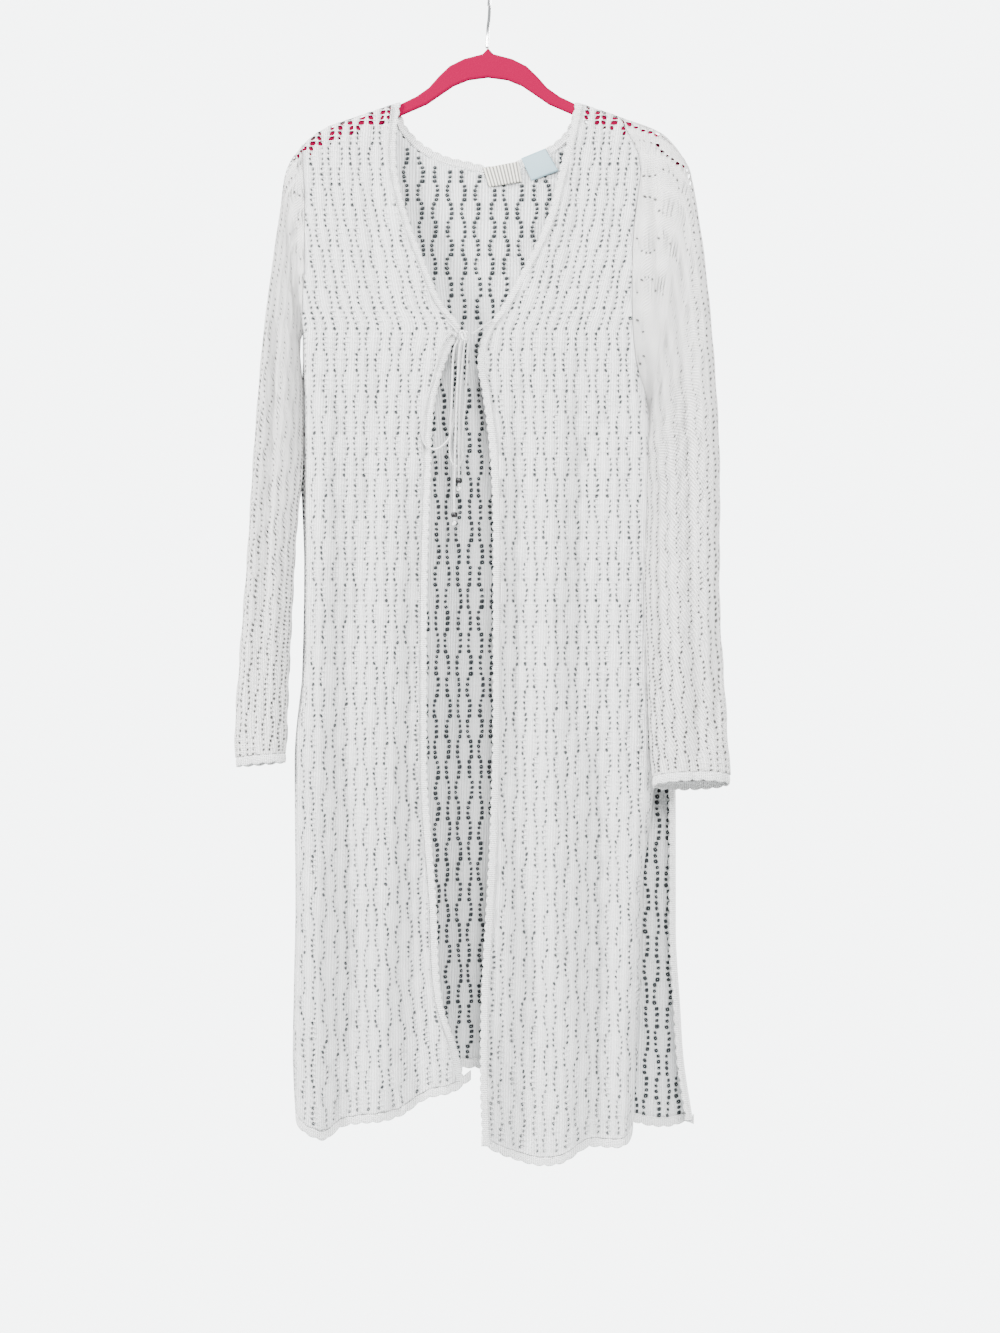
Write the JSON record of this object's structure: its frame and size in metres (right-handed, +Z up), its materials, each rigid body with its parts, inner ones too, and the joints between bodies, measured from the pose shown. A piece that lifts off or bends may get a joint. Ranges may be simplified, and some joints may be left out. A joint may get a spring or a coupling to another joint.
{
  "type": "openwork knit duster cardigan on a hanger",
  "caption": "Long white openwork lace-knit duster cardigan with an open front, a thin tie at the bust and long sleeves, hanging on a pink flocked hanger.",
  "frame": {"origin": "inner top of the hook, where a rail carries the hanger", "axes": "+Z up, the garment's front faces -Y, +X to the viewer's right (the wearer's left)"},
  "size_m": [0.5458, 0.0879, 1.3274],
  "materials": {
    "knit": "matt openwork knit",
    "trim": "matt scalloped edging",
    "cord": "matt",
    "neck_label": "ribbed satin",
    "care_label": "satin",
    "bead": "dull pewter",
    "flock": "velvet flock",
    "chrome": "polished"
  },
  "bodies": {
    "root": {"back_panel": "knit", "front_left": "knit", "front_right": "knit", "sleeve_left": "knit", "sleeve_right": "knit", "neck_edging": "trim", "front_edging_left": "trim", "front_edging_right": "trim", "hem_edging_left": "trim", "hem_edging_right": "trim", "hem_edging_back": "trim", "slit_edging_right": "trim", "cuff_edging_left": "trim", "cuff_edging_right": "trim", "neck_label": "neck_label", "care_label": "care_label", "tie_cord_left": "cord", "tie_cord_right": "cord", "tie_loop_wide": "cord", "tie_loop_narrow": "cord", "tie_tail_short": "cord", "tie_tail_long": "cord", "tie_knot": "cord", "tie_end_knot_short": "cord", "tie_end_knot_long": "cord", "tie_bead_short": "bead", "tie_bead_long": "bead", "hanger_body": "flock", "hanger_hook": "chrome"}
  },
  "joints": []
}
